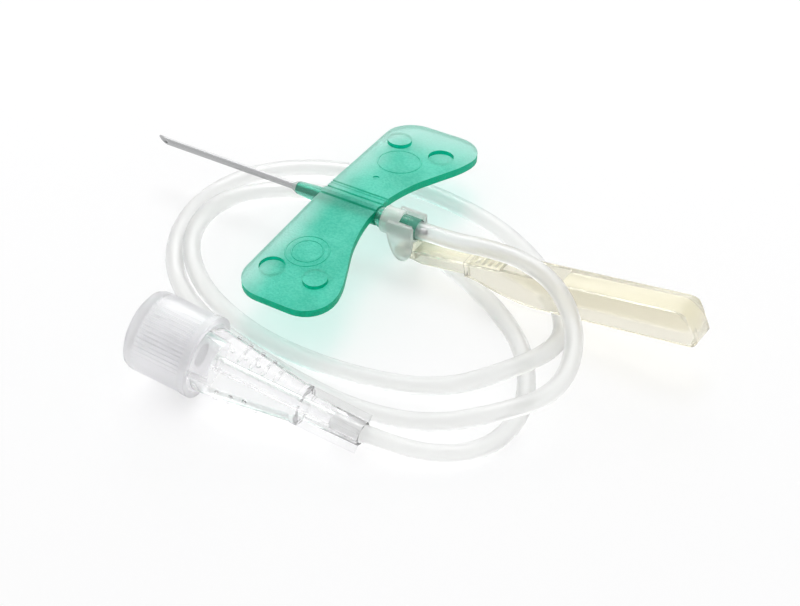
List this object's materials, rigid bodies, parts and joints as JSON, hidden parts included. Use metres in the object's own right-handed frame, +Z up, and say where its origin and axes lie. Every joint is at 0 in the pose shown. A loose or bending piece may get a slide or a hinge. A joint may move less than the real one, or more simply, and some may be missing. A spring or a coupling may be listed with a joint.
{
  "type": "winged infusion set",
  "caption": "Winged needle with a fold-over safety shield, a coiled clear tube and a capped luer connector, lying as it comes to rest.",
  "frame": {"origin": "on the needle's axis at the hub's front face", "axes": "-X along the needle to its tip, +Z up, wings along Y"},
  "size_m": [0.0695, 0.0524, 0.01],
  "materials": {
    "steel": "bright",
    "adhesive": "gloss",
    "hub_green": "gloss",
    "soft_green": "satin",
    "milky": "satin",
    "yellow_clear": "gloss",
    "soft_clear": "gloss",
    "clear": "gloss",
    "cap_white": "satin"
  },
  "bodies": {
    "set": {"needle": "steel", "bead": "adhesive", "hub": "hub_green", "wing_sleeve": "soft_green", "collar": "milky", "tube": "soft_clear", "connector": "clear"},
    "near": {"wing_near": "soft_green"},
    "far": {"wing_far": "soft_green"},
    "guard": {"shield": "yellow_clear"},
    "closure": {"cap": "cap_white"}
  },
  "joints": [
    {"name": "shield_hinge", "type": "hinge", "parent": "set", "child": "guard", "pos_m": [0.0142, 0, -0.0026], "axis": [0, 1, 0], "range_deg": [0, 188], "deforming": ["tube"]},
    {"name": "near_fold", "type": "hinge", "parent": "set", "child": "near", "pos_m": [0.0065, -0.0019, 0.00055], "axis": [-1, 0, 0], "range_deg": [0, 85], "stiffness_Nm_per_rad": 0.001},
    {"name": "far_fold", "type": "hinge", "parent": "set", "child": "far", "pos_m": [0.0065, 0.0019, 0.00055], "axis": [1, 0, 0], "range_deg": [0, 85], "stiffness_Nm_per_rad": 0.001},
    {"name": "cap_off", "type": "slide", "parent": "set", "child": "closure", "axis": [-0.9917, -0.0156, 0.1276], "range_m": [0, 0.012]}
  ]
}
